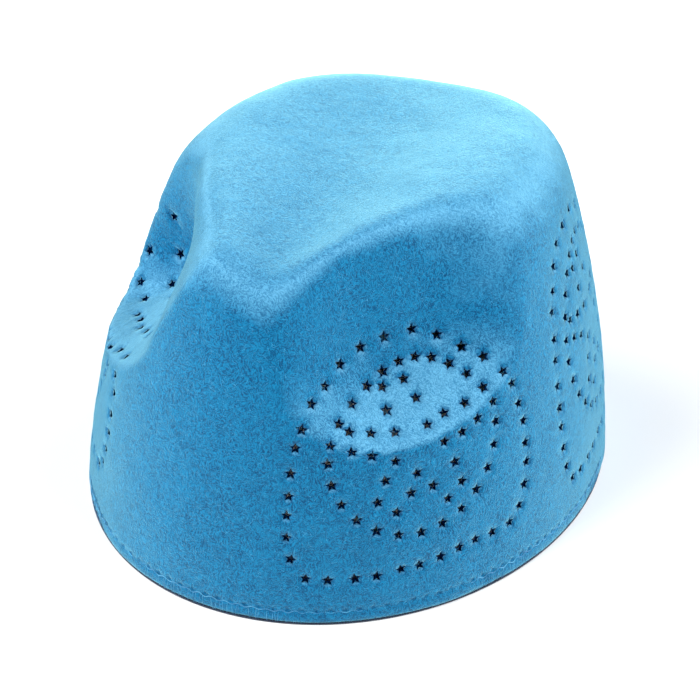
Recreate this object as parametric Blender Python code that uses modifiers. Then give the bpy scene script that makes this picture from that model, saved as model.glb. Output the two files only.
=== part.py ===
"""Moulded felt prayer cap: a hollow crown with pinched front sides and star perforations, and a dark band in its rim.

The cap stands on its rim on the plane z = 0. The front of the crown points to -Y and its top to +Z.
Sizes are in millimetres and degrees, and the meshes are written in metres.
An angle round the cap starts at the front and grows towards +X.
"""

import math
from types import SimpleNamespace

import bpy
import numpy as np

# Rim and wall. The rim is an ellipse of about 591 mm round: a 58 cm cap with the thickness of its wall.
RIM_HALF_LENGTH = 100.4
RIM_HALF_WIDTH = 87.7
TAPER_HEIGHT = 120.0
TAPER_LENGTH = 0.25
TAPER_WIDTH = 0.32
WALL_BULGE = 0.06
BACKWARD_LEAN = 8.3
FRONT_FULLNESS = 5.0

# Felt and band.
FELT_THICKNESS = 2.0
BAND_THICKNESS = 1.0
BAND_HEIGHT = 26.0
BAND_GAP = 0.4
BAND_SHOWS_BELOW = 0.8
CENTRE_SHIFT_Y = -0.3
TRIM_ALLOWANCE = 1.5

# Top of the crown: a height field that meets the wall over a soft edge.
TOP = SimpleNamespace(
    height=123.1,
    rise_to_back=2.4,
    rise_to_right=0.9,
    dome_across=12.6,
    dome_along=6.1,
    twist=-12.3,
    edge_softness=13.9,
)

# The shallow valley that runs along the top.
VALLEY = SimpleNamespace(depth=9.7, half_width=29.0, yaw=10.5, offset=-1.0, widening=0.8, deepening=0.35)

# The two pinches at the sides of the front. Each is a dish that is pressed inwards and opens upwards into the top.
# The lip values hold at the height of the lip, and the top values one rise above it.
PINCH_RISE = 60.0
PINCHES = (
    SimpleNamespace(
        side=1,
        lip_height=87.0,
        bowl=33.1,
        lip_angle=39.9,
        lip_front=26.1,
        lip_back=42.0,
        lip_depth=21.9,
        top_angle=40.0,
        top_front=50.0,
        top_back=58.0,
        top_depth=15.0,
        fullness=3.1,
    ),
    SimpleNamespace(
        side=-1,
        lip_height=79.2,
        bowl=37.0,
        lip_angle=61.3,
        lip_front=44.0,
        lip_back=28.3,
        lip_depth=27.0,
        top_angle=16.1,
        top_front=18.0,
        top_back=66.0,
        top_depth=10.0,
        fullness=3.4,
    ),
)

# Star perforations. A motif is charted by the angle from its own middle and by the felt between rim and star.
# The closed oval of each motif is pierced here.
MOTIF_ANGLES = (46.0, 116.0, -128.0, -58.0)
STAR_POINTS = 5
STAR_TIP_RADIUS = 1.75
STAR_NOTCH_RADIUS = 0.8
OVAL = SimpleNamespace(stars=25, middle_angle=-0.8, half_angle=19.7, middle_rise=60.5, half_rise=31.0)

# Mesh divisions. The rays that find the surface start on the axis, and their origin climbs as they turn upwards.
AROUND = 68
CROWN_RINGS = 21
BAND_RINGS = 3
RAY_ORIGIN_HEIGHT = 40.0
RAY_LEVEL_SHARE = 0.12


def soft_max(a, b, width):
    """The larger of two fields, blended over the given width."""
    mix = np.clip(0.5 + 0.5 * (a - b) / width, 0.0, 1.0)
    return b + (a - b) * mix + width * mix * (1.0 - mix)


def pinch_depth(angle, z, pinch):
    """How far one pinch presses the felt in, at an angle in degrees and a height."""
    steps_up = (z - pinch.lip_height) / PINCH_RISE
    lift = np.minimum(0.5 * (steps_up + np.sqrt(steps_up**2 + 0.0225)), 1.2)
    middle = pinch.lip_angle + (pinch.top_angle - pinch.lip_angle) * lift
    front = pinch.lip_front + (pinch.top_front - pinch.lip_front) * lift
    back = pinch.lip_back + (pinch.top_back - pinch.lip_back) * lift
    depth = pinch.lip_depth + (pinch.top_depth - pinch.lip_depth) * lift
    off = (pinch.side * angle + 180.0) % 360.0 - 180.0 - middle
    back_share = 0.5 + 0.5 * np.tanh(off / 12.0)
    across = off / (front + (back - front) * back_share)
    below = np.clip((pinch.lip_height - z) / pinch.bowl, 0.0, None)
    away = np.clip(np.hypot(across, below), 0.0, 1.0)
    return depth * (1.0 - away**pinch.fullness) ** 2


def wall_radius(angle, z):
    """Outer radius of the wall about its leaning middle line."""
    t = z / TAPER_HEIGHT
    bulge = WALL_BULGE * 4.0 * t * (1.0 - t)
    half_length = RIM_HALF_LENGTH * (1.0 - TAPER_LENGTH * t + bulge)
    half_width = RIM_HALF_WIDTH * (1.0 - TAPER_WIDTH * t + bulge)
    sine = np.sin(np.radians(angle))
    cosine = np.cos(np.radians(angle))
    radius = 1.0 / np.hypot(sine / half_width, cosine / half_length)
    radius = radius + FRONT_FULLNESS * np.clip(cosine, 0.0, 1.0) ** 2 * np.clip(z / 110.0, 0.0, 1.3) ** 2
    for pinch in PINCHES:
        radius = radius - pinch_depth(angle, z, pinch)
    return radius


def top_height(x, y):
    """Height of the top surface, before its soft edge."""
    yaw = math.radians(VALLEY.yaw)
    across = (x - VALLEY.offset) * math.cos(yaw) + y * math.sin(yaw)
    along = -(x - VALLEY.offset) * math.sin(yaw) + y * math.cos(yaw)
    half_width = np.maximum(VALLEY.half_width * (1.0 + VALLEY.widening * along / 100.0), 6.0)
    valley = VALLEY.depth * np.exp(-((across / half_width) ** 2)) * (1.0 + VALLEY.deepening * along / 100.0)
    dome = TOP.dome_across * (x / 90.0) ** 2 + TOP.dome_along * (y / 100.0) ** 2
    lean = TOP.rise_to_back * y / 100.0 + TOP.rise_to_right * x / 90.0 + TOP.twist * x * y / 9000.0
    return TOP.height + lean - dome - valley


def field(point):
    """Below zero inside the outer surface of the crown, above zero outside it."""
    x, y, z = point[..., 0], point[..., 1], point[..., 2]
    middle_y = BACKWARD_LEAN * z / TAPER_HEIGHT
    radius = np.hypot(x, y - middle_y) + 1e-6
    angle = np.degrees(np.arctan2(x, middle_y - y))
    return soft_max(radius - wall_radius(angle, z), z - top_height(x, y), TOP.edge_softness)


def layer(point, depth):
    """Zero where the point lies this far under the outer surface."""
    step = 0.05
    here = field(point)
    slopes = [(field(point + step * np.eye(3)[axis]) - here) / step for axis in range(3)]
    return here / np.sqrt(sum(slope**2 for slope in slopes)) + depth


def cast(origin, direction, depth):
    """Points where rays from inside the crown reach the layer at this depth."""
    reach = np.linspace(5.0, 170.0, 56)
    samples = origin[..., None, :] + direction[..., None, :] * reach[:, None]
    first = np.argmax(layer(samples, depth) > 0.0, axis=-1)
    far = reach[first]
    near = reach[np.maximum(first - 1, 0)]
    for _ in range(16):
        middle = 0.5 * (near + far)
        outside = layer(origin + direction * middle[..., None], depth) > 0.0
        far = np.where(outside, middle, far)
        near = np.where(outside, near, middle)
    return origin + direction * (0.5 * (near + far))[..., None]


def rays(heights, climbs):
    """A ring of rays for each pair of an origin height and an angle of climb."""
    around = np.arange(AROUND) * 2.0 * math.pi / AROUND
    level = np.stack([np.sin(around), -np.cos(around), 0.0 * around], axis=-1)
    upright = np.array([0.0, 0.0, 1.0])
    climbs = np.asarray(climbs)[:, None, None]
    direction = level * np.cos(climbs) + upright * np.sin(climbs)
    origin = np.zeros_like(direction)
    origin[..., 2] = np.asarray(heights)[:, None]
    return origin, direction


def ring_faces(rings):
    """Quads between neighbouring rings, facing away from the axis."""
    faces = []
    for ring in range(rings - 1):
        for step in range(AROUND):
            a = ring * AROUND + step
            b = ring * AROUND + (step + 1) % AROUND
            faces.append((a, b, b + AROUND, a + AROUND))
    return faces


def crown_surface():
    """The outer surface of the crown, from just below the rim to the middle of the top."""
    share = np.arange(CROWN_RINGS) / CROWN_RINGS
    heights = (RAY_ORIGIN_HEIGHT + TRIM_ALLOWANCE) * np.minimum(1.0, 1.6 * share) - TRIM_ALLOWANCE
    climbs = 0.5 * math.pi * np.clip((share - RAY_LEVEL_SHARE) / (1.0 - RAY_LEVEL_SHARE), 0.0, 1.0)
    rings = cast(*rays(heights, climbs), 0.0)
    apex = cast(np.array([[0.0, 0.0, RAY_ORIGIN_HEIGHT]]), np.array([[0.0, 0.0, 1.0]]), 0.0)
    last = (CROWN_RINGS - 1) * AROUND
    fan = [(last + step, last + (step + 1) % AROUND, CROWN_RINGS * AROUND) for step in range(AROUND)]
    return np.concatenate([rings.reshape(-1, 3), apex]), ring_faces(CROWN_RINGS) + fan


def band_surface():
    """The outer face of the band, which follows the inside of the wall and hangs just below it."""
    heights = np.linspace(-TRIM_ALLOWANCE, BAND_HEIGHT, BAND_RINGS) - BAND_SHOWS_BELOW
    rings = cast(*rays(heights, 0.0 * heights), FELT_THICKNESS + BAND_GAP)
    return rings.reshape(-1, 3), ring_faces(BAND_RINGS)


def wall_point(angle, rise):
    """The point of the outer wall with this much felt between it and the rim, measured up one angle."""
    heights = np.linspace(0.0, 100.0, 401)
    radius = wall_radius(angle, heights)
    across = radius * math.sin(math.radians(angle))
    along = BACKWARD_LEAN * heights / TAPER_HEIGHT - radius * math.cos(math.radians(angle))
    line = np.stack([across, along, heights], axis=-1)
    felt = np.concatenate([[0.0], np.cumsum(np.linalg.norm(np.diff(line, axis=0), axis=1))])
    return np.array([np.interp(rise, felt, line[:, axis]) for axis in range(3)])


def star_cutters():
    """A star-shaped prism for each star of the ovals, pushed through the felt."""
    points = []
    faces = []
    corners = 2 * STAR_POINTS
    for motif_angle in MOTIF_ANGLES:
        for star in range(OVAL.stars):
            turn = 2.0 * math.pi * (star + 0.5) / OVAL.stars
            angle = motif_angle + OVAL.middle_angle + OVAL.half_angle * math.sin(turn)
            rise = OVAL.middle_rise + OVAL.half_rise * math.cos(turn)
            here = wall_point(angle, rise)
            along = wall_point(angle + 0.5, rise) - wall_point(angle - 0.5, rise)
            up = wall_point(angle, rise + 0.5) - wall_point(angle, rise - 0.5)
            up = up / np.linalg.norm(up)
            out = np.cross(along, up)
            out = out / np.linalg.norm(out)
            side = np.cross(up, out)
            first = len(points)
            for depth in (3.0, -FELT_THICKNESS - 3.5):
                for corner in range(corners):
                    spoke = math.pi * corner / STAR_POINTS
                    radius = STAR_NOTCH_RADIUS if corner % 2 else STAR_TIP_RADIUS
                    points.append(here + out * depth + radius * (math.cos(spoke) * up + math.sin(spoke) * side))
            faces.append(tuple(range(first + corners - 1, first - 1, -1)))
            faces.append(tuple(range(first + corners, first + 2 * corners)))
            for corner in range(corners):
                after = (corner + 1) % corners
                faces.append((first + corner, first + after, first + corners + after, first + corners + corner))
    return np.array(points), faces


def add_object(name, points, faces, collection):
    """An object from cap millimetres, smooth shaded."""
    metres = (points + np.array([0.0, CENTRE_SHIFT_Y, BAND_SHOWS_BELOW])) / 1000.0
    mesh = bpy.data.meshes.new(name)
    mesh.from_pydata([tuple(point) for point in metres], [], faces)
    mesh.shade_smooth()
    made = bpy.data.objects.new(name, mesh)
    collection.objects.link(made)
    return made


def thicken(piece, thickness):
    """Gives an open surface its thickness, inwards."""
    solidify = piece.modifiers.new("thickness", "SOLIDIFY")
    solidify.thickness = thickness / 1000.0
    solidify.offset = -1.0
    solidify.use_even_offset = True


def cut(piece, cutter):
    """Takes the cutter away from the piece."""
    cutter.hide_render = True
    cutter.display_type = "WIRE"
    boolean = piece.modifiers.new(cutter.name, "BOOLEAN")
    boolean.object = cutter
    boolean.operation = "DIFFERENCE"
    boolean.solver = "EXACT"


def floor_block(name, top, collection):
    """A block that levels the lower edge of a piece at this height."""
    bpy.ops.mesh.primitive_cube_add(size=1.0)
    block = bpy.context.object
    block.name = name
    block.scale = (0.3, 0.3, 0.02)
    block.location.z = top / 1000.0 - 0.01
    for home in list(block.users_collection):
        home.objects.unlink(block)
    collection.objects.link(block)
    return block


def dress(piece, name, colour, roughness, sheen):
    material = bpy.data.materials.new(name)
    material.use_nodes = True
    shader = material.node_tree.nodes["Principled BSDF"]
    shader.inputs["Base Color"].default_value = (*colour, 1.0)
    shader.inputs["Roughness"].default_value = roughness
    shader.inputs["Metallic"].default_value = 0.0
    shader.inputs["Sheen Weight"].default_value = sheen
    piece.data.materials.append(material)


for old in list(bpy.data.objects):
    bpy.data.objects.remove(old, do_unlink=True)

cap = bpy.data.collections.new("prayer_cap")
cutters = bpy.data.collections.new("cutters")
bpy.context.scene.collection.children.link(cap)
bpy.context.scene.collection.children.link(cutters)

crown = add_object("crown", *crown_surface(), cap)
thicken(crown, FELT_THICKNESS)
dress(crown, "blue_felt", (0.03, 0.25, 0.55), 0.95, 0.3)

sweatband = add_object("sweatband", *band_surface(), cap)
thicken(sweatband, BAND_THICKNESS)
dress(sweatband, "navy_band", (0.01, 0.025, 0.05), 0.8, 0.0)

cut(crown, floor_block("under_crown", BAND_SHOWS_BELOW, cutters))
cut(sweatband, floor_block("under_band", 0.0, cutters))
cut(crown, add_object("oval_stars", *star_cutters(), cutters))
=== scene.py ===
import math
from types import SimpleNamespace

import bpy
import numpy as np
from mathutils import Matrix, Vector
from mathutils.geometry import delaunay_2d_cdt


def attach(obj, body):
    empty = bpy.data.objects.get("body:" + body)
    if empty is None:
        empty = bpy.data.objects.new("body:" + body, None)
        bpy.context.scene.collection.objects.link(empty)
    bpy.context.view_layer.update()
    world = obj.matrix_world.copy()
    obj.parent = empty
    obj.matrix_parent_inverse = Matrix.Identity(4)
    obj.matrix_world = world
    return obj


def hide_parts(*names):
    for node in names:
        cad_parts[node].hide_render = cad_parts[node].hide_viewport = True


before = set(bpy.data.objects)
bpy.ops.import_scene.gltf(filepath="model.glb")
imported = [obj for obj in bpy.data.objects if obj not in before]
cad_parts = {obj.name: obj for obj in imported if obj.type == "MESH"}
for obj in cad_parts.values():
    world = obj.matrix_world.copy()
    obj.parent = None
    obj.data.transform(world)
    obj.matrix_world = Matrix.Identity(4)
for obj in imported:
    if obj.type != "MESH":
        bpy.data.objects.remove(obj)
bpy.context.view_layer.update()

# Lengths are in millimetres and angles in degrees until a mesh is placed.
# An angle starts at the front and grows towards +X.
# The outer surface is that of the solids, apart from the pinches, whose lips are sharper and partly narrower,
# the valley, which is a little deeper, and the edge of the top, whose softness changes round the cap.
RIM_HALF_LENGTH = 100.4
RIM_HALF_WIDTH = 87.7
TAPER_HEIGHT = 120.0
TAPER_LENGTH = 0.25
TAPER_WIDTH = 0.32
WALL_BULGE = 0.06
BACKWARD_LEAN = 8.3
FRONT_FULLNESS = 5.0
FELT_THICKNESS = 2.0
BAND_HEIGHT = 26.0
BAND_SHOWS_BELOW = 0.8
CENTRE_SHIFT_Y = -0.3
TOP = SimpleNamespace(
    height=123.1,
    rise_to_back=2.4,
    rise_to_right=0.9,
    dome_across=12.6,
    dome_along=6.1,
    twist=-12.3,
    edge_softness=13.9,
    pinched_softness=7.5,
    side_softness=19.0,
    soft_side=-100.0,
    soft_spread=38.0,
)
VALLEY = SimpleNamespace(depth=10.8, half_width=28.0, yaw=10.5, offset=-1.0, widening=0.8, deepening=0.35)

# The pinches. The lip values hold at the height of the lip, and the top values one rise above it.
# Where the felt is pressed in by the top depth, the edge of the top is as tight as it gets.
PINCH_RISE = 60.0
PINCH_BEND = 0.0225
PINCH_MOST_RISES = 1.2
PINCH_FRONT_TO_BACK = 12.0
TOP_PINCH_DEPTH = 15.0
SOLID_PINCHES = (
    SimpleNamespace(
        side=1,
        lip_height=87.0,
        bowl=33.1,
        lip_angle=39.9,
        lip_front=26.1,
        lip_back=42.0,
        lip_depth=21.9,
        top_angle=40.0,
        top_front=50.0,
        top_back=58.0,
        top_depth=15.0,
        fullness=3.1,
        front_edge=2.0,
        back_edge=2.0,
        lip_edge=2.0,
    ),
    SimpleNamespace(
        side=-1,
        lip_height=79.2,
        bowl=37.0,
        lip_angle=61.3,
        lip_front=44.0,
        lip_back=28.3,
        lip_depth=27.0,
        top_angle=16.1,
        top_front=18.0,
        top_back=66.0,
        top_depth=10.0,
        fullness=3.4,
        front_edge=2.0,
        back_edge=2.0,
        lip_edge=2.0,
    ),
)
# What the felt's own lips change in the pinches of the solid.
FELT_LIPS = (
    dict(
        lip_height=88.5, bowl=29.0, lip_front=25.5, lip_back=39.5, lip_depth=18.5,
        top_depth=18.5, fullness=3.0, front_edge=2.0, back_edge=2.2, lip_edge=1.05,
    ),
    dict(
        lip_height=80.0, bowl=27.0, lip_front=41.5, lip_back=15.0, lip_depth=25.0,
        top_back=74.0, top_depth=9.0, front_edge=1.1, back_edge=2.9, lip_edge=1.1,
    ),
)
PINCHES = tuple(SimpleNamespace(**{**vars(pinch), **lips}) for pinch, lips in zip(SOLID_PINCHES, FELT_LIPS))

# The rays that find the surface start on the axis. Their origin climbs first, and then they turn upwards.
RAY_ORIGIN_HEIGHT = 40.0
RAY_ORIGIN_PACE = 1.6
RAY_LEVEL_SHARE = 0.12

# Star perforations: the angle from the middle of the motif, and the felt between the rim and the star.
MOTIF_ANGLES = (46.0, 116.0, -128.0, -58.0)
STAR_CORNERS = 10
STAR_TIP_RADIUS = 1.95
STAR_NOTCH_RADIUS = 0.95
OVAL = SimpleNamespace(stars=25, middle_angle=-0.8, half_angle=19.7, middle_rise=60.5, half_rise=31.0)
ARCH_SIDES = (
    (27.9, 38), (27.9, 45), (27.8, 53), (26.6, 60), (25.2, 68), (23.1, 75), (19.7, 83), (15.2, 89),
    (9.1, 95.5), (1.4, 100), (-7.4, 100), (-14.3, 98), (-19.3, 93), (-22.3, 86), (-24.7, 80), (-26, 71),
    (-27, 64), (-27.6, 55), (-27.7, 47), (-27.9, 40), (-27.7, 32), (-26.7, 24),
)
ARCH_BASE = (
    (-23.7, 17), (-19.4, 16.3), (-14.2, 16.4), (-9.9, 16.5), (-5, 17.6), (-1, 17.5), (3.7, 18.3),
    (8.2, 19.1), (12.4, 19.6), (17, 19.2), (22, 19.5), (25.1, 23.7), (26.9, 30.4),
)
UPPER_LEAF = ((-16.4, 71), (-11.7, 69.8), (-6.3, 68.7), (1.4, 68.6), (5.9, 70.5), (11.5, 71.4))
LOWER_LEAF = ((-15.8, 64.1), (-11.6, 61.6), (-6.6, 57), (-1.8, 50.8), (1.9, 44.9), (5.4, 38.7))
WEDGE = ((4.6, 59.8), (9.2, 60.8), (13.6, 63.2), (7.2, 50.8), (8.9, 43.1))
DIAMONDS = (
    (-2.4, 85.4), (-8.3, 84.5), (-7.7, 76.5), (0.1, 78.2),
    (-8.7, 50.6), (-3.1, 44.4), (-6.2, 38.7), (-10.2, 43.4),
)

# The felt round a star: how far the lip ring lies outside the hole, the radius of the collar ring,
# how deep the hole's edge and the two rings are sunk, and how far the first two are painted dark navy as
# shade in the hole.
STAR_LIP = 0.32
STAR_COLLAR = 2.75
STAR_SUNK = (0.7, 0.42, 0.1)
STAR_HOLE_SHADE = (0.75, 0.2)
STAR_INNER_SIZE = 0.8

# The spacing of the felt's mesh, and the room that it leaves round each star.
HEM_ROWS = (0.0, 0.35, 0.9, 1.7, 2.6, 3.4, 4.0, 4.6, 5.2, 5.9, 6.9, 8.2)
OUTER_GRID = SimpleNamespace(spacing=2.2, clear=3.5, hem=HEM_ROWS)
INNER_GRID = SimpleNamespace(spacing=3.6, clear=3.2, hem=(0.0, 1.6))

# Hem stitches. The lowest felt is lifted a little, so that the band stays in sight under it.
HEM_RISE = 4.6
HEM_LIFT = 0.25
HEM_LIFT_RISE = 1.6
HEM_STITCHES = 131
HEM_POINTS = 8 * HEM_STITCHES
HEM_THREAD = 0.15
EDGE_THREADS = 430
EDGE_THREAD = 0.085
LOOSE_THREAD = 0.13
LOOSE_THREAD_ANGLES = (-38.0, -29.5, 71.0, 148.0, -163.0)

# The band: how deep its two faces lie under the outer surface, and the radius that its weave is measured on.
BAND_FACE = 2.12
BAND_BACK = 3.25
BAND_WEAVE_RADIUS = 94.0
BAND_FLOOR_GAP = 0.02

# Loose fibres on the felt.
NAP_FIBRES = 15000
NAP_WIDTH = 0.045
NAP_LOWEST = 3.2

# Camera: where it stands round the cap, how far off in metres, and its focal length in pixels of the frame.
CAMERA_AZIMUTH = 31.1
CAMERA_ELEVATION = 34.2
CAMERA_DISTANCE = 0.903
CAMERA_AIM_HEIGHT = 50.0
CAMERA_AIM_RIGHT = 0.1
CAMERA_AIM_UP = -6.9
FOCAL_PIXELS = 2614.0
FRAME_PIXELS = 700.0
SENSOR_WIDTH = 36.0

# The strengths of the softboxes, high to the left and right of the camera and low beside the cap.
LEFT_LIGHT = 8.2
RIGHT_LIGHT = 5.9
LOW_RIGHT_LIGHT = 9.0
LOW_LEFT_LIGHT = 2.0
FILL_LIGHT = 0.06

random = np.random.default_rng(7)


def soft_max(a, b, width):
    """The larger of two fields, blended over the given width."""
    mix = np.clip(0.5 + 0.5 * (a - b) / width, 0.0, 1.0)
    return b + (a - b) * mix + width * mix * (1.0 - mix)


def pinch_depth(angle, z, pinch):
    """How far one pinch presses the felt in, at an angle and a height."""
    steps_up = (z - pinch.lip_height) / PINCH_RISE
    lift = np.minimum(0.5 * (steps_up + np.sqrt(steps_up**2 + PINCH_BEND)), PINCH_MOST_RISES)
    middle = pinch.lip_angle + (pinch.top_angle - pinch.lip_angle) * lift
    front = pinch.lip_front + (pinch.top_front - pinch.lip_front) * lift
    back = pinch.lip_back + (pinch.top_back - pinch.lip_back) * lift
    depth = pinch.lip_depth + (pinch.top_depth - pinch.lip_depth) * lift
    off = (pinch.side * angle + 180.0) % 360.0 - 180.0 - middle
    back_share = 0.5 + 0.5 * np.tanh(off / PINCH_FRONT_TO_BACK)
    across = off / (front + (back - front) * back_share)
    below = np.clip((pinch.lip_height - z) / pinch.bowl, 0.0, None)
    away = np.clip(np.hypot(across, below), 0.0, 1.0)
    sides = pinch.front_edge + (pinch.back_edge - pinch.front_edge) * back_share
    edge = sides + (pinch.lip_edge - sides) * below**2 / (across**2 + below**2 + 1e-6)
    return depth * (1.0 - away**pinch.fullness) ** edge


def pressed_in(angle, z, pinches=PINCHES):
    """How far the pinches press the felt in, in all."""
    return sum(pinch_depth(angle, z, pinch) for pinch in pinches)


def wall_radius(angle, z, pinches=PINCHES):
    """Outer radius of the wall about its leaning middle line."""
    t = z / TAPER_HEIGHT
    bulge = WALL_BULGE * 4.0 * t * (1.0 - t)
    half_length = RIM_HALF_LENGTH * (1.0 - TAPER_LENGTH * t + bulge)
    half_width = RIM_HALF_WIDTH * (1.0 - TAPER_WIDTH * t + bulge)
    sine = np.sin(np.radians(angle))
    cosine = np.cos(np.radians(angle))
    radius = 1.0 / np.hypot(sine / half_width, cosine / half_length)
    radius = radius + FRONT_FULLNESS * np.clip(cosine, 0.0, 1.0) ** 2 * np.clip(z / 110.0, 0.0, 1.3) ** 2
    return radius - pressed_in(angle, z, pinches)


def valley_share(x, y):
    """The valley's depth at each place, as a share of its depth in the middle."""
    yaw = math.radians(VALLEY.yaw)
    across = (x - VALLEY.offset) * math.cos(yaw) + y * math.sin(yaw)
    along = -(x - VALLEY.offset) * math.sin(yaw) + y * math.cos(yaw)
    half_width = np.maximum(VALLEY.half_width * (1.0 + VALLEY.widening * along / 100.0), 6.0)
    return np.exp(-((across / half_width) ** 2)) * (1.0 + VALLEY.deepening * along / 100.0)


def top_height(x, y):
    """Height of the top surface, before its soft edge."""
    dome = TOP.dome_across * (x / 90.0) ** 2 + TOP.dome_along * (y / 100.0) ** 2
    lean = TOP.rise_to_back * y / 100.0 + TOP.rise_to_right * x / 90.0 + TOP.twist * x * y / 9000.0
    return TOP.height + lean - dome - VALLEY.depth * valley_share(x, y)


def field(point):
    """Below zero inside the outer surface of the crown, above zero outside it."""
    x, y, z = point[..., 0], point[..., 1], point[..., 2]
    middle_y = BACKWARD_LEAN * z / TAPER_HEIGHT
    radius = np.hypot(x, y - middle_y) + 1e-6
    angle = np.degrees(np.arctan2(x, middle_y - y))
    plain = wall_radius(angle, z, ())
    pressed = pressed_in(angle, z)
    pinched = np.clip(pressed / TOP_PINCH_DEPTH, 0.0, 1.0)
    from_side = (angle - TOP.soft_side + 180.0) % 360.0 - 180.0
    softer = np.exp(-((from_side / TOP.soft_spread) ** 2))
    softness = TOP.edge_softness + (TOP.side_softness - TOP.edge_softness) * softer
    softness = softness + (TOP.pinched_softness - softness) * pinched
    return soft_max(radius - plain + pressed, z - top_height(x, y), softness)


def outward(point):
    """Unit normals of the outer surface."""
    step = 0.05
    slopes = [field(point + step * axis) - field(point - step * axis) for axis in np.eye(3)]
    slope = np.stack(slopes, axis=-1)
    return slope / np.linalg.norm(slope, axis=-1, keepdims=True)


def aim(share):
    """Origin height and climb of the ray at a share of the way from the rim to the top."""
    climb = 0.5 * math.pi * np.clip((share - RAY_LEVEL_SHARE) / (1.0 - RAY_LEVEL_SHARE), 0.0, 1.0)
    return RAY_ORIGIN_HEIGHT * np.minimum(1.0, RAY_ORIGIN_PACE * share), climb


def surface(angle, share):
    """Points of the outer surface at an angle round the cap and a share of the way up."""
    angle, share = np.broadcast_arrays(np.asarray(angle, float), np.asarray(share, float))
    turn = np.radians(angle)
    height, climb = aim(share)
    level = np.cos(climb)
    direction = np.stack([np.sin(turn) * level, -np.cos(turn) * level, np.sin(climb)], axis=-1)
    origin = np.zeros_like(direction)
    origin[..., 2] = height
    reach = np.linspace(5.0, 150.0, 30)
    samples = origin[..., None, :] + direction[..., None, :] * reach[:, None]
    first = np.argmax(field(samples) > 0.0, axis=-1)
    far = reach[first]
    near = reach[np.maximum(first - 1, 0)]
    for _ in range(18):
        middle = 0.5 * (near + far)
        outside = field(origin + direction * middle[..., None]) > 0.0
        far = np.where(outside, middle, far)
        near = np.where(outside, near, middle)
    return origin + direction * (0.5 * (near + far))[..., None]


def chart_of(point):
    """The angle and the share whose ray goes through each point."""
    x, y, z = point[..., 0], point[..., 1], point[..., 2]
    angle = np.degrees(np.arctan2(x, -y))
    out = np.hypot(x, y)
    low, high = np.zeros_like(out), np.ones_like(out)
    for _ in range(40):
        share = 0.5 * (low + high)
        height, climb = aim(share)
        under = np.arctan2(z - height, out) > climb
        low, high = np.where(under, share, low), np.where(under, high, share)
    return angle, 0.5 * (low + high)


# The felt's girth and its rise above the rim at each share. A flat disc stands for the outer surface while
# it is cut into triangles, and its radii are such that shapes keep their form on it.
SHARES = np.linspace(0.0, 0.998, 300)
sampled = surface(np.arange(0.0, 360.0, 5.0)[:, None], SHARES[None, :])
steps_up = np.linalg.norm(np.diff(sampled, axis=1), axis=-1).mean(axis=0)
GIRTHS = np.linalg.norm(sampled - np.roll(sampled, -1, axis=0), axis=-1).sum(axis=0)
RISES = np.concatenate([[0.0], np.cumsum(steps_up)])
shrinks = steps_up * 2.0 * math.pi / (0.5 * (GIRTHS[1:] + GIRTHS[:-1]))
DISC = np.exp(-np.concatenate([[0.0], np.cumsum(shrinks)]))


def on_disc(angle, share):
    """Places on the flat disc."""
    radius = np.interp(share, np.append(SHARES, 1.0), np.append(DISC, 0.0))
    turn = np.radians(angle)
    return np.stack([radius * np.sin(turn), -radius * np.cos(turn)], axis=-1)


def wall_line(angle):
    """Points up the outer wall at one angle, and the felt below each on the solid."""
    heights = np.linspace(0.0, 100.0, 401)
    lines = []
    for pinches in (PINCHES, SOLID_PINCHES):
        radius = wall_radius(angle, heights, pinches)
        across = radius * math.sin(math.radians(angle))
        along = BACKWARD_LEAN * heights / TAPER_HEIGHT - radius * math.cos(math.radians(angle))
        lines.append(np.stack([across, along, heights], axis=-1))
    return lines[0], np.concatenate([[0.0], np.cumsum(np.linalg.norm(np.diff(lines[1], axis=0), axis=1))])


def wall_point(angle, rise):
    """The point of the outer wall with this much of the solid's felt between it and the rim."""
    line, felt = wall_line(angle)
    return np.array([np.interp(rise, felt, line[:, axis]) for axis in range(3)])


def oval_stars():
    """The closed oval of a motif, charted as the tables of stars are."""
    turns = 2.0 * math.pi * (np.arange(OVAL.stars) + 0.5) / OVAL.stars
    offs = OVAL.middle_angle + OVAL.half_angle * np.sin(turns)
    rises = OVAL.middle_rise + OVAL.half_rise * np.cos(turns)
    return tuple(zip(offs, rises))


def star_places():
    """Centre, upward and sideways direction of each star."""
    charted = ARCH_SIDES + ARCH_BASE + oval_stars() + UPPER_LEAF + LOWER_LEAF + WEDGE + DIAMONDS
    places = []
    for motif_angle in MOTIF_ANGLES:
        for off, rise in charted:
            angle = motif_angle + off
            here = wall_point(angle, rise)
            up = wall_point(angle, rise + 0.5) - wall_point(angle, rise - 0.5)
            out = outward(here)
            up = up - out * (up @ out)
            up = up / np.linalg.norm(up)
            places.append((here, up, np.cross(up, out)))
    return [np.array(part) for part in zip(*places)]


def star_outlines(count):
    """The corners and side middles of each star, to the side and up, each star a little different."""
    size = 1.0 + 0.05 * random.standard_normal(count)
    twist = np.radians(7.0) * random.standard_normal(count)
    numbers = np.arange(STAR_CORNERS)
    spokes = 2.0 * math.pi * numbers / STAR_CORNERS
    lengths = np.where(numbers % 2, STAR_NOTCH_RADIUS, STAR_TIP_RADIUS)
    corners = np.stack([np.sin(spokes) * lengths, np.cos(spokes) * lengths], axis=-1)
    outline = np.empty((2 * STAR_CORNERS, 2))
    outline[0::2] = corners
    outline[1::2] = 0.5 * (corners + np.roll(corners, -1, axis=0))
    cosine, sine = np.cos(twist)[:, None], np.sin(twist)[:, None]
    x = outline[:, 0] * cosine + outline[:, 1] * sine
    y = outline[:, 1] * cosine - outline[:, 0] * sine
    return np.stack([x, y], axis=-1) * size[:, None, None]


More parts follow.
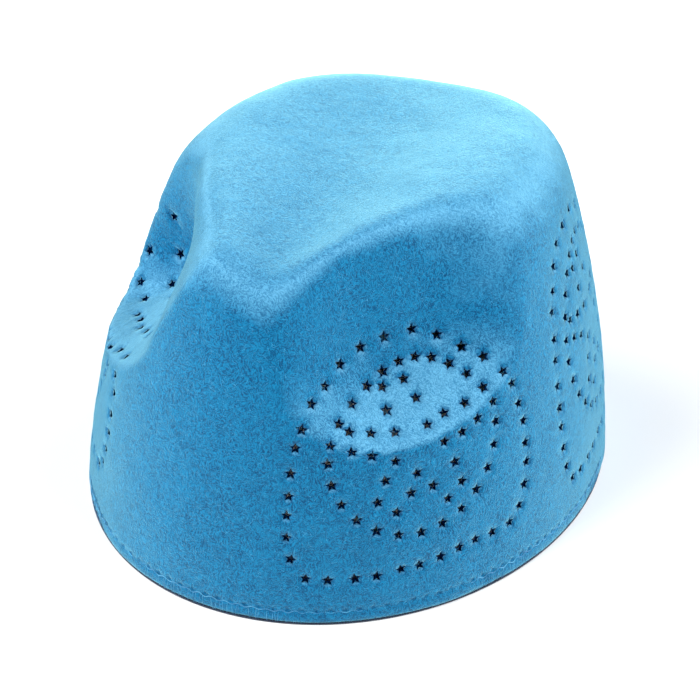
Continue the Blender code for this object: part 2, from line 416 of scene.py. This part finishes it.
def bumps(point, seed, longest, shortest, count):
    """A smooth random field of about -1 to 1, with waves between two lengths."""
    chance = np.random.default_rng(seed)
    value = np.zeros(point.shape[:-1])
    for _ in range(count):
        direction = chance.standard_normal(3)
        direction /= np.linalg.norm(direction)
        length = chance.uniform(shortest, longest)
        value += np.sin(point @ direction * 2.0 * math.pi / length + chance.uniform(0.0, 2.0 * math.pi))
    return value / math.sqrt(count)


def rings_of_points(spacing, hem_rises):
    """Angles and shares of points that cover the surface about evenly, finer at the hem."""
    rises = list(hem_rises)
    while rises[-1] + spacing < RISES[-1] - 0.6 * spacing:
        rises.append(rises[-1] + spacing)
    angles, shares = [], []
    for number, rise in enumerate(rises):
        count, shift = HEM_POINTS, 0.0
        if number >= len(hem_rises):
            count, shift = max(6, round(np.interp(rise, RISES, GIRTHS) / spacing)), 0.5 * (number % 2)
        angles.append((np.arange(count) + shift) * 360.0 / count)
        shares.append(np.full(count, np.interp(rise, RISES, SHARES)))
    angles.append(np.zeros(1))
    shares.append(np.ones(1))
    return np.concatenate(angles), np.concatenate(shares)


def mesh_layer(grid_plan, centres, rings):
    """Triangles over the whole surface with the stars left open.

    A ring holds the points round every star, and the first ring is the outline of the hole.
    The result is the angle and share of each vertex, the triangles, and the number of vertices in no ring.
    """
    angle, share = rings_of_points(grid_plan.spacing, grid_plan.hem)
    place = surface(angle, share)
    nearest = np.full(len(place), np.inf)
    for centre in centres:
        nearest = np.minimum(nearest, np.linalg.norm(place - centre, axis=1))
    keep = nearest > grid_plan.clear
    angles, shares = [angle[keep]], [share[keep]]
    for points in rings:
        ring_angle, ring_share = chart_of(points)
        angles.append(ring_angle.reshape(-1))
        shares.append(ring_share.reshape(-1))
    grid = len(angles[0])
    angle, share = np.concatenate(angles), np.concatenate(shares)
    flat = on_disc(angle, share)
    stars, corners = rings[0].shape[:2]
    outline = grid + np.arange(stars * corners).reshape(stars, corners)
    edges = np.stack([outline, np.roll(outline, -1, axis=1)], axis=-1).reshape(-1, 2).tolist()
    made = delaunay_2d_cdt([Vector(p) for p in flat.tolist()], edges, [], 0, 1e-9)
    order = [ids[0] for ids in made[3]]
    triangles = np.array(order)[np.array([face for face in made[2] if len(face) == 3])]

    # The triangles inside a star go, and the one in each notch between its points stays.
    star = (triangles - grid) // corners
    same = (triangles >= grid).all(axis=1) & (triangles < grid + stars * corners).all(axis=1)
    same &= (star[:, 0] == star[:, 1]) & (star[:, 1] == star[:, 2])
    corner = np.sort((triangles - grid) % corners, axis=1)
    in_notch = (corner[:, 2] - corner[:, 0] == 2) & (corner[:, 1] % 4 == 2)
    triangles = triangles[~same | in_notch]
    a, b, c = (flat[triangles[:, k]] for k in range(3))
    turn = (b[:, 0] - a[:, 0]) * (c[:, 1] - a[:, 1]) - (b[:, 1] - a[:, 1]) * (c[:, 0] - a[:, 0])
    triangles[turn < 0.0] = triangles[turn < 0.0][:, ::-1]
    return angle, share, triangles, grid


def add_piece(name, points, faces, body):
    """A smooth-shaded piece from cap millimetres."""
    metres = (points + np.array([0.0, CENTRE_SHIFT_Y, BAND_SHOWS_BELOW])) / 1000.0
    mesh = bpy.data.meshes.new(name)
    mesh.from_pydata(metres.tolist(), [], faces)
    mesh.validate()
    mesh.shade_smooth()
    piece = bpy.data.objects.new(name, mesh)
    bpy.context.scene.collection.objects.link(piece)
    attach(piece, body)
    return piece


def add_numbers(piece, name, values):
    """A number for each vertex, which the material reads by its name."""
    attribute = piece.data.attributes.new(name, "FLOAT", "POINT")
    attribute.data.foreach_set("value", np.asarray(values, np.float32))


def stitch_pull(angle, rise):
    """How far the hem stitches draw the felt in: a groove with a deeper dent over each stitch."""
    groove = 0.16 * np.exp(-(((rise - HEM_RISE + 0.1) / 0.7) ** 2))
    return groove + 0.5 * stitch_dent(angle, rise)


def stitch_dent(angle, rise):
    """The dent over each hem stitch, 1 where it is deepest."""
    phase = np.radians(angle) * HEM_STITCHES
    return np.clip(np.cos(phase), 0.0, 1.0) ** 1.5 * np.exp(-(((rise - HEM_RISE - 0.45) / 0.5) ** 2))


def lumps(point):
    """The uneven thickness that shows on both faces of the felt."""
    return 0.22 * bumps(point, 3, 60.0, 22.0, 14)


def near_rim(rise):
    """1 at the rim, falling to 0 above it."""
    return np.clip(1.0 - rise / HEM_LIFT_RISE, 0.0, 1.0)


def make_crown():
    """Both faces of the felt, the walls of the star holes and the hem's edge. Gives the outer face."""
    centres, up, side = star_places()
    outline = star_outlines(len(centres))
    spread = np.linalg.norm(outline, axis=-1, keepdims=True)
    stars, corners = outline.shape[:2]

    def in_space(flat):
        return centres[:, None, :] + flat[..., 0:1] * side[:, None, :] + flat[..., 1:2] * up[:, None, :]

    turns = 2.0 * math.pi * (np.arange(12) + 0.5) / 12.0
    circle = np.stack([np.sin(turns), np.cos(turns)], axis=-1)[None] * np.ones((stars, 1, 1))
    lip = outline * (1.0 + STAR_LIP / spread)
    rings = [in_space(outline), in_space(lip), in_space(circle * STAR_COLLAR)]
    angle, share, triangles, grid = mesh_layer(OUTER_GRID, centres, rings)
    base = surface(angle, share)
    rise = np.interp(share, SHARES, RISES)
    ends = np.cumsum([grid] + [ring.shape[0] * ring.shape[1] for ring in rings])
    sunk, hole_shade = np.zeros(len(base)), np.zeros(len(base))
    for number, depth in enumerate(STAR_SUNK):
        sunk[ends[number]:ends[number + 1]] = depth
    # Painted shade: the hole's edge and its lip ring are darkened to navy.
    for number, blue in enumerate(STAR_HOLE_SHADE):
        hole_shade[ends[number]:ends[number + 1]] = blue
    sunk += stitch_pull(angle, rise)
    sunk += 0.4 * np.clip(1.0 - rise / 0.9, 0.0, 1.0) ** 2
    sunk -= 0.12 * np.exp(-(((rise - 2.3) / 1.2) ** 2))
    raised = lumps(base) + 0.05 * bumps(base, 5, 12.0, 5.0, 16) - sunk
    outer = base + outward(base) * raised[:, None]
    outer[:, 2] += HEM_LIFT * near_rim(rise)

    inner_angle, inner_share, inner_triangles, inner_grid = mesh_layer(
        INNER_GRID, centres, [in_space(outline * STAR_INNER_SIZE)]
    )
    inner_base = surface(inner_angle, inner_share)
    inner_rise = np.interp(inner_share, SHARES, RISES)
    raised = lumps(inner_base) - FELT_THICKNESS + 0.35 * near_rim(inner_rise)
    inner = inner_base + outward(inner_base) * raised[:, None]
    inner[:, 2] += HEM_LIFT * near_rim(inner_rise)
    inner_hole_shade = np.zeros(len(inner))
    inner_hole_shade[inner_grid:] = 1.0

    middle = 0.5 * (outer[:HEM_POINTS] + inner[:HEM_POINTS]) - np.array([0.0, 0.0, 0.12])
    points = np.concatenate([outer, inner, middle])
    first_inner = len(outer)
    first_middle = len(outer) + len(inner)
    here = np.arange(HEM_POINTS)
    after = (here + 1) % HEM_POINTS
    hem_outside = [here, here + first_middle, after + first_middle, after]
    hem_below = [here + first_middle, here + first_inner, after + first_inner, after + first_middle]
    top = grid + np.arange(stars * corners).reshape(stars, corners)
    bottom = first_inner + inner_grid + np.arange(stars * corners).reshape(stars, corners)
    wall = np.stack([top, np.roll(top, -1, axis=1), np.roll(bottom, -1, axis=1), bottom], axis=-1)
    faces = triangles.tolist() + (inner_triangles[:, ::-1] + first_inner).tolist()
    faces += np.stack(hem_outside, axis=-1).tolist() + np.stack(hem_below, axis=-1).tolist()
    faces += wall.reshape(-1, 4).tolist()

    piece = add_piece("felt_crown", points, faces, "root")
    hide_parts("crown")
    piece.data.materials.append(felt_material("blue_felt", False))
    piece.data.materials.append(felt_material("inner_felt", True))
    slots = np.ones(len(faces), np.int32)
    slots[:len(triangles)] = 0
    slots[len(triangles) + len(inner_triangles):][:HEM_POINTS] = 0
    assert len(piece.data.polygons) == len(faces)
    piece.data.polygons.foreach_set("material_index", slots)
    unseen = np.zeros(len(inner) + HEM_POINTS)
    # The material paints shade from these numbers: in the stitch dents, round the star holes and along the
    # top's valley.
    add_numbers(piece, "dent", np.concatenate([stitch_dent(angle, rise), unseen]))
    add_numbers(piece, "hole_shade", np.concatenate([hole_shade, inner_hole_shade, np.zeros(HEM_POINTS)]))
    add_numbers(piece, "painted_valley_shade", np.concatenate([valley_share(outer[:, 0], outer[:, 1]), unseen]))
    return outer, triangles


def wall_at(angle, z, depth):
    """Points this far under the outer wall, near the rim, where the wall is all but upright."""
    angle, z, depth = np.broadcast_arrays(angle, z, depth)
    radius = wall_radius(angle, z)
    turn = np.radians(angle)
    along = BACKWARD_LEAN * z / TAPER_HEIGHT - radius * np.cos(turn)
    point = np.stack([radius * np.sin(turn), along, z], axis=-1)
    return point - outward(point) * depth[..., None]


def tubes(paths, radius, sides=5):
    """Round threads along paths, given as (threads, points, 3)."""
    along = np.gradient(paths, axis=1)
    along /= np.linalg.norm(along, axis=-1, keepdims=True)
    reference = np.where(np.abs(along[..., 2:3]) > 0.9, [[[1.0, 0.0, 0.0]]], [[[0.0, 0.0, 1.0]]])
    first = np.cross(along, reference)
    first /= np.linalg.norm(first, axis=-1, keepdims=True)
    second = np.cross(along, first)
    count, length = paths.shape[:2]
    taper = np.ones(length)
    taper[[0, -1]] = 0.35
    turns = 2.0 * math.pi * np.arange(sides) / sides
    rim = first[:, :, None] * np.cos(turns)[:, None] + second[:, :, None] * np.sin(turns)[:, None]
    points = paths[:, :, None] + rim * (radius * taper)[:, None, None]
    index = np.arange(count * length * sides).reshape(count, length, sides)
    after = np.roll(index, -1, axis=2)
    quads = np.stack([index[:, :-1], index[:, 1:], after[:, 1:], after[:, :-1]], axis=-1)
    caps = index[:, 0].tolist() + index[:, -1, ::-1].tolist()
    return points.reshape(-1, 3), quads.reshape(-1, 4).tolist() + caps


def make_band():
    """The woven band inside the rim: a closed profile of heights and depths, carried round the wall."""
    top, middle = BAND_HEIGHT - BAND_SHOWS_BELOW, 0.5 * (BAND_FACE + BAND_BACK)
    rows = [0.6, 2.0, 3.2, 4.0, 4.6, 5.2, 6.0, 8.0, 11.0, 15.0, 19.0, 22.5, 24.4]
    profile = [(z, BAND_FACE) for z in rows]
    profile += [(top - 0.2, BAND_FACE + 0.18), (top, middle), (top - 0.2, BAND_BACK - 0.18)]
    profile += [(z, BAND_BACK) for z in rows[::-1]]
    profile += [(-0.3, BAND_BACK - 0.05), (-0.7, BAND_BACK - 0.45), (-0.76, 2.0), (-0.76, 0.6)]
    profile += [(-0.64, 0.26), (-0.44, 0.14), (-0.22, 0.18), (-0.13, 0.5), (-0.16, 1.9)]
    heights = np.array([z for z, _ in profile])
    depths = np.array([depth for _, depth in profile])
    around = 6 * HEM_STITCHES
    angle = np.arange(around)[:, None] * 360.0 / around
    z = heights[None, :] * np.ones_like(angle)
    phase = np.radians(angle) * HEM_STITCHES
    inside = (depths > middle)[None, :]
    pull = 0.16 * (0.6 + 0.4 * np.cos(phase)) * np.exp(-(((z - HEM_RISE) / 0.7) ** 2)) * inside
    place = wall_at(angle, z, depths[None, :])
    wave = 0.12 * bumps(place, 11, 40.0, 14.0, 10) * np.clip(z / 12.0, 0.0, 1.0)
    place = place + outward(place) * (pull - np.abs(wave) * inside)[..., None]
    place[..., 2] = np.maximum(place[..., 2], BAND_FLOOR_GAP - BAND_SHOWS_BELOW)
    count = len(profile)
    index = np.arange(around * count).reshape(around, count)
    after = np.roll(index, -1, axis=0)
    quads = np.stack([index, np.roll(index, -1, axis=1), np.roll(after, -1, axis=1), after], axis=-1)
    piece = add_piece("woven_band", place.reshape(-1, 3), quads.reshape(-1, 4).tolist(), "root")
    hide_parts("sweatband")
    add_numbers(piece, "turn_mm", (angle * math.pi / 180.0 * BAND_WEAVE_RADIUS * np.ones_like(z)).reshape(-1))
    add_numbers(piece, "height_mm", z.reshape(-1))
    return piece


def make_hem_stitches():
    """The waved row of stitches above the rim, the threads from it over the edge, and a few loose floats."""
    samples = 10 * HEM_STITCHES
    angle = np.arange(samples + 1) * 360.0 / samples
    phase = np.radians(angle) * HEM_STITCHES
    wander = 0.3 * np.sin(np.radians(angle) * 37.0 + 1.0) + 0.25 * np.sin(np.radians(angle) * 23.0)
    rise = HEM_RISE - 0.3 - 0.42 * np.cos(phase) * (0.8 + 0.6 * wander) + 0.15 * wander
    out = 0.06 + 0.1 * wander
    row = wall_at(angle, rise, stitch_pull(angle, rise) - out)
    threads = [tubes(row[None], HEM_THREAD)]

    where = (np.arange(EDGE_THREADS) + 0.3 * random.standard_normal(EDGE_THREADS)) * 360.0 / EDGE_THREADS
    where = where[random.random(EDGE_THREADS) > 0.15]
    slant = 0.22 * random.standard_normal(len(where))
    rise = np.array([HEM_RISE - 0.2, 3.8, 2.6, 1.2, 0.35, -0.03, -0.08])
    out = np.array([-0.4, 0.0, 0.09, 0.07, -0.08, -0.5, -1.1])
    share = np.array([0.0, 0.1, 0.4, 0.7, 0.9, 1.0, 1.0])
    angle = where[:, None] + slant[:, None] * share[None, :]
    rise = rise[None, :] * np.ones_like(angle)
    sink = 0.07 * random.random(len(where))[:, None]
    depth = stitch_pull(angle, rise) * (rise > 0.0) - out[None, :] + sink
    threads.append(tubes(wall_at(angle, rise, depth), EDGE_THREAD))

    share = np.linspace(0.0, 1.0, 7)
    angle = np.array(LOOSE_THREAD_ANGLES)[:, None] + 2.5 * share[None, :]
    rise = HEM_RISE + 0.3 + 0.9 * np.sin(math.pi * share)[None, :] - 0.8 * share[None, :] + 0.0 * angle
    depth = stitch_pull(angle, rise) - 0.32 * np.sin(math.pi * share)[None, :]
    threads.append(tubes(wall_at(angle, rise, depth), LOOSE_THREAD))

    points, faces = np.zeros((0, 3)), []
    for more_points, more_faces in threads:
        faces += [[corner + len(points) for corner in face] for face in more_faces]
        points = np.concatenate([points, more_points])
    return add_piece("hem_stitches", points, faces, "root")


def make_band_stitches():
    """The same row of stitches on the inside of the band."""
    step = 360.0 / HEM_STITCHES
    start = (np.arange(HEM_STITCHES) + 0.06) * step
    share = np.array([0.0, 0.15, 0.5, 0.85, 0.88])
    angle = start[:, None] + share[None, :] * step
    depth = BAND_BACK + np.array([-0.5, 0.05, 0.12, 0.05, -0.5]) - 0.12
    points, faces = tubes(wall_at(angle, HEM_RISE, depth), HEM_THREAD)
    return add_piece("band_stitches", points, faces, "root")


def make_nap(outer, triangles):
    """Short loose fibres that stand off the felt, as narrow ribbons."""
    count = NAP_FIBRES
    corners = outer[triangles]
    area = np.linalg.norm(np.cross(corners[:, 1] - corners[:, 0], corners[:, 2] - corners[:, 0]), axis=1)
    chosen = np.searchsorted(np.cumsum(area) / area.sum(), random.random(count))
    weights = random.dirichlet((1.0, 1.0, 1.0), count)
    root = (corners[chosen] * weights[..., None]).sum(axis=1)
    normal = outward(root)
    lean = random.standard_normal((count, 3))
    lean -= normal * (lean * normal).sum(axis=1, keepdims=True)
    lean /= np.linalg.norm(lean, axis=1, keepdims=True)
    side = np.cross(normal, lean)
    length = random.uniform(0.8, 2.6, count)[:, None]
    height = random.uniform(0.06, 0.4, count)[:, None] * (1.0 + (random.random(count)[:, None] > 0.97))
    curl = random.uniform(-0.5, 0.5, count)[:, None]
    above_hem = root[:, 2] > NAP_LOWEST
    parts = (root, normal, lean, side, length, height, curl)
    root, normal, lean, side, length, height, curl = (part[above_hem] for part in parts)
    path = [
        root - 0.05 * normal,
        root + 0.5 * length * lean + 0.7 * height * normal + 0.2 * curl * length * side,
        root + length * (lean + curl * side) + height * normal,
    ]
    widths = (NAP_WIDTH, NAP_WIDTH, 0.3 * NAP_WIDTH)
    points = np.stack([path[k] + side * widths[k] * sign for k in range(3) for sign in (-0.5, 0.5)], axis=1)
    index = np.arange(len(root))[:, None] * 6
    faces = np.concatenate([index + np.array([0, 2, 3, 1]), index + np.array([2, 4, 5, 3])])
    return add_piece("felt_nap", points.reshape(-1, 3), faces.tolist(), "root")


def make_camera():
    """A camera at the photograph's viewing angle."""
    azimuth, elevation = math.radians(CAMERA_AZIMUTH), math.radians(CAMERA_ELEVATION)
    level = math.cos(elevation)
    back = Vector((math.sin(azimuth) * level, -math.cos(azimuth) * level, math.sin(elevation)))
    right = Vector((math.cos(azimuth), math.sin(azimuth), 0.0))
    up = back.cross(right)
    middle = Vector((0.0, CENTRE_SHIFT_Y, CAMERA_AIM_HEIGHT + BAND_SHOWS_BELOW))
    target = (middle + right * CAMERA_AIM_RIGHT + up * CAMERA_AIM_UP) / 1000.0
    data = bpy.data.cameras.new("camera")
    data.sensor_width = SENSOR_WIDTH
    data.lens = FOCAL_PIXELS / FRAME_PIXELS * SENSOR_WIDTH
    data.clip_start, data.clip_end = 0.05, 20.0
    camera = bpy.data.objects.new("camera", data)
    bpy.context.scene.collection.objects.link(camera)
    turned = Matrix((right, up, back)).transposed().to_4x4()
    camera.matrix_world = Matrix.Translation(target + back * CAMERA_DISTANCE) @ turned
    bpy.context.scene.camera = camera


class Nodes:
    """Short ways to add shader nodes to a node tree."""

    def __init__(self, tree):
        self.tree = tree

    def put(self, socket, value):
        if isinstance(value, bpy.types.NodeSocket):
            self.tree.links.new(value, socket)
        else:
            socket.default_value = value

    def named(self, made, values):
        for name, value in values.items():
            self.put(made.inputs[name], value)

    def node(self, kind, *values, **settings):
        made = self.tree.nodes.new("ShaderNode" + kind)
        for key, value in settings.items():
            setattr(made, key, value)
        for socket, value in zip(made.inputs, values):
            self.put(socket, value)
        return made

    def math(self, operation, *values):
        return self.node("Math", *values, operation=operation).outputs[0]

    def product(self, first, *others):
        for other in others:
            first = self.math("MULTIPLY", first, other)
        return first

    def vector(self, operation, *values):
        return self.node("VectorMath", *values, operation=operation).outputs[0]

    def dot(self, first, second):
        return self.node("VectorMath", first, second, operation="DOT_PRODUCT").outputs["Value"]

    def step(self, value, low, high):
        """A soft step from 0 at low to 1 at high, which may be the lower number."""
        made = self.node("MapRange", interpolation_type="SMOOTHSTEP")
        self.named(made, {"Value": value, "From Min": low, "From Max": high, "To Min": 0.0, "To Max": 1.0})
        return made.outputs[0]

    def blend(self, factor, first, second):
        made = self.node("Mix", data_type="FLOAT")
        for number, value in ((0, factor), (2, first), (3, second)):
            self.put(made.inputs[number], value)
        return made.outputs[0]

    def mix(self, factor, first, second):
        made = self.node("Mix", data_type="RGBA")
        for number, value in ((0, factor), (6, first), (7, second)):
            self.put(made.inputs[number], value)
        return made.outputs[2]


def make_light():
    """The softboxes, as soft patches of the surrounding light that are placed by height and by side."""
    world = bpy.data.worlds.new("studio")
    world.use_nodes = True
    nodes = Nodes(world.node_tree)
    direction = nodes.node("TexCoord").outputs["Generated"]
    azimuth = math.radians(CAMERA_AZIMUTH)
    right = nodes.dot(direction, (math.cos(azimuth), math.sin(azimuth), 0.0))
    toward = nodes.dot(direction, (math.sin(azimuth), -math.cos(azimuth), 0.0))
    squares = nodes.math("ADD", nodes.product(right, right), nodes.product(toward, toward))
    level = nodes.math("MAXIMUM", nodes.math("SQRT", squares), 0.01)
    to_side = nodes.math("DIVIDE", right, level)
    to_front = nodes.math("DIVIDE", toward, level)
    height = nodes.dot(direction, (0.0, 0.0, 1.0))
    dimmer_behind = nodes.blend(nodes.step(to_front, 0.0, -0.35), 1.0, 0.55)
    high = nodes.product(nodes.step(height, 0.25, 0.46), nodes.step(height, 0.9, 0.73), dimmer_behind)
    low = nodes.product(nodes.step(height, 0.0, 0.05), nodes.step(height, 0.44, 0.24))
    on_right = nodes.step(to_side, 0.6, 0.8)
    left_box = nodes.product(nodes.step(to_side, -0.6, -0.8), high, LEFT_LIGHT)
    right_box = nodes.product(on_right, high, RIGHT_LIGHT)
    far_right = nodes.product(on_right, nodes.step(to_front, 0.3, 0.0), LOW_RIGHT_LIGHT)
    far_left = nodes.product(nodes.step(to_side, -0.7, -0.9), LOW_LEFT_LIGHT)
    low_box = nodes.product(nodes.math("ADD", far_right, far_left), low)
    total = nodes.math("ADD", nodes.math("ADD", left_box, right_box), nodes.math("ADD", low_box, FILL_LIGHT))
    background = world.node_tree.nodes["Background"]
    background.inputs["Color"].default_value = (1.0, 1.0, 1.0, 1.0)
    nodes.put(background.inputs["Strength"], total)
    bpy.context.scene.world = world


def make_floor():
    """A plain pale floor."""
    mesh = bpy.data.meshes.new("floor")
    half = 6.0
    corners = [(-half, -half, 0.0), (half, -half, 0.0), (half, half, 0.0), (-half, half, 0.0)]
    mesh.from_pydata(corners, [], [(0, 1, 2, 3)])
    floor = bpy.data.objects.new("floor", mesh)
    bpy.context.scene.collection.objects.link(floor)
    material = bpy.data.materials.new("floor")
    material.use_nodes = True
    shader = material.node_tree.nodes["Principled BSDF"]
    shader.inputs["Base Color"].default_value = (0.96, 0.96, 0.96, 1.0)
    shader.inputs["Roughness"].default_value = 0.9
    shader.inputs["Specular IOR Level"].default_value = 0.1
    mesh.materials.append(material)


class Surface(Nodes):
    """A material and short ways to build it."""

    def __init__(self, name):
        self.material = bpy.data.materials.new(name)
        self.material.use_nodes = True
        super().__init__(self.material.node_tree)
        self.shader = self.tree.nodes["Principled BSDF"]

    def noise(self, place, scale, detail=3.0, roughness=0.55, output="Fac"):
        made = self.node("TexNoise")
        self.named(made, {"Vector": place, "Scale": scale, "Detail": detail, "Roughness": roughness})
        return made.outputs[output]

    def attribute(self, name):
        return self.node("Attribute", attribute_name=name).outputs["Fac"]

    def millimetres(self):
        return self.vector("MULTIPLY", self.node("TexCoord").outputs["Object"], (1000.0, 1000.0, 1000.0))

    def bump(self, height, strength, distance):
        made = self.node("Bump")
        self.named(made, {"Height": height, "Strength": strength, "Distance": distance / 1000.0})
        self.put(self.shader.inputs["Normal"], made.outputs[0])

    def finish(self, **values):
        self.named(self.shader, {name.replace("_", " "): value for name, value in values.items()})


def felt_material(name, inside):
    """Felted wool: matted fibres that swirl, a fine grain, cloudy dye, and painted light and shade: a top
    painted lighter where light from above falls, and painted shade in the valley, the stitch dents and the
    star holes.
    """
    felt = Surface(name)
    place = felt.millimetres()
    drift = felt.noise(place, 0.3, 2.0, output="Color")
    warped = felt.vector("ADD", place, felt.vector("MULTIPLY", drift, (4.0, 4.0, 4.0)))
    fibres = [
        felt.noise(felt.vector("MULTIPLY", warped, stretch), 1.0, 2.0, 0.6)
        for stretch in ((0.48, 2.3, 2.3), (2.3, 0.48, 2.3), (2.3, 2.3, 0.48))
    ]
    turn = felt.noise(place, 0.22, 1.0, output="Color")
    parts = felt.node("SeparateXYZ", turn).outputs
    across = felt.step(felt.math("SUBTRACT", parts[0], parts[1]), -0.06, 0.06)
    upright = felt.step(felt.math("SUBTRACT", parts[2], parts[1]), -0.06, 0.06)
    lying = felt.blend(across, fibres[0], fibres[1])
    matted = felt.blend(upright, lying, fibres[2])
    grain = felt.noise(place, 2.4, 3.0, 0.65)
    clouds = felt.noise(place, 0.09, 3.0, 0.6)
    pile = felt.math("ADD", felt.product(matted, 0.72), felt.product(grain, 0.28))
    # Painted light: the felt is painted lighter and paler where it faces up, most on the slopes and crests,
    # as light from above falls on it, and painted shade darkens the valley of the top.
    upward = felt.node("SeparateXYZ", felt.node("TexCoord").outputs["Normal"]).outputs[2]
    lit_from_above = felt.step(felt.math("ADD", upward, felt.product(clouds, 0.2)), 0.4, 0.95)
    painted_light_share = felt.math("SUBTRACT", lit_from_above, felt.product(felt.step(upward, 0.8, 0.98), 0.44))
    painted_light_share = felt.math("SUBTRACT", painted_light_share, felt.product(felt.attribute("painted_valley_shade"), 0.2))

    # The second tone of each pair is the felt painted as if lit from above.
    deep = felt.mix(painted_light_share, (0.0002, 0.049, 0.148, 1.0), (0.039, 0.202, 0.385, 1.0))
    bright = felt.mix(painted_light_share, (0.003, 0.18, 0.382, 1.0), (0.122, 0.387, 0.605, 1.0))
    deep = felt.mix(felt.product(felt.step(clouds, 0.4, 0.64), 0.2), deep, bright)
    tone = felt.mix(felt.step(pile, 0.41, 0.59), deep, bright)
    # Painted shade: the felt is darkened in the dent over each hem stitch.
    tone = felt.mix(felt.product(felt.attribute("dent"), 0.8), tone, (0.0005, 0.04, 0.14, 1.0))
    # Painted shade: the inner face is made darker and navy, so that the star holes read dark.
    if inside:
        tone = felt.mix(0.4, tone, (0.0, 0.03, 0.13, 1.0))
    # Painted shade: the edges of the star holes and the inner rings round them are darkened to navy.
    hole_shade = felt.attribute("hole_shade")
    tone = felt.mix(hole_shade, tone, (0.0, 0.03, 0.15, 1.0))
    felt.bump(pile, 0.6, 0.7)
    felt.finish(
        Base_Color=tone, Roughness=0.93, Specular_IOR_Level=0.0,
        Sheen_Weight=0.0 if inside else 1.0, Sheen_Roughness=0.45, Sheen_Tint=(0.43, 0.92, 1.0, 1.0),
    )
    return felt.material


def thread_material(name, dark, bright, scale):
    """A twisted thread: fine plies, and some change of colour along it."""
    thread = Surface(name)
    place = thread.millimetres()
    ply = thread.noise(thread.vector("MULTIPLY", place, (6.0, 6.0, 2.5)), 1.0, 2.0)
    fade = thread.noise(place, scale, 2.0)
    thread.bump(ply, 0.5, 0.1)
    tone = thread.mix(thread.step(fade, 0.35, 0.65), dark, bright)
    thread.finish(Base_Color=tone, Roughness=0.6, Sheen_Weight=0.2)
    return thread.material


def nap_material():
    """Loose wool, lighter and bluer from place to place."""
    nap = Surface("loose_fibres")
    shade = nap.noise(nap.millimetres(), 0.7, 2.0)
    tone = nap.mix(nap.step(shade, 0.35, 0.65), (0.01, 0.26, 0.52, 1.0), (0.1, 0.46, 0.75, 1.0))
    nap.finish(Base_Color=tone, Roughness=0.9, Sheen_Weight=0.5, Sheen_Tint=(0.5, 0.95, 1.0, 1.0))
    return nap.material


def band_material():
    """A woven tape: ribs across it, crossed by finer rows of weft."""
    band = Surface("woven_navy")
    turn = band.attribute("turn_mm")
    height = band.attribute("height_mm")
    place = band.millimetres()
    wobble = band.product(band.noise(place, 0.5, 2.0), 0.6)
    rib = band.math("SINE", band.product(band.math("ADD", turn, wobble), 2.0 * math.pi / 0.9))
    weft = band.math("SINE", band.product(height, 2.0 * math.pi / 0.45))
    weave = band.math("ADD", band.product(rib, 0.7), band.product(rib, weft, 0.3))
    fuzz = band.noise(place, 3.0, 3.0)
    tone = band.mix(band.step(weave, -0.9, 0.9), (0.004, 0.012, 0.03, 1.0), (0.016, 0.04, 0.085, 1.0))
    tone = band.mix(band.product(band.step(fuzz, 0.5, 0.75), 0.3), tone, (0.03, 0.07, 0.13, 1.0))
    band.bump(weave, 0.6, 0.2)
    band.finish(Base_Color=tone, Roughness=0.75, Sheen_Weight=0.15)
    return band.material


make_camera()
make_light()
make_floor()
outer_points, outer_triangles = make_crown()
make_band().data.materials.append(band_material())
blue_thread = thread_material("blue_thread", (0.006, 0.17, 0.38, 1.0), (0.07, 0.38, 0.62, 1.0), 0.25)
make_hem_stitches().data.materials.append(blue_thread)
navy_thread = thread_material("navy_thread", (0.008, 0.02, 0.05, 1.0), (0.03, 0.06, 0.12, 1.0), 0.3)
make_band_stitches().data.materials.append(navy_thread)
make_nap(outer_points, outer_triangles).data.materials.append(nap_material())

bpy.context.scene.view_settings.view_transform = "Standard"
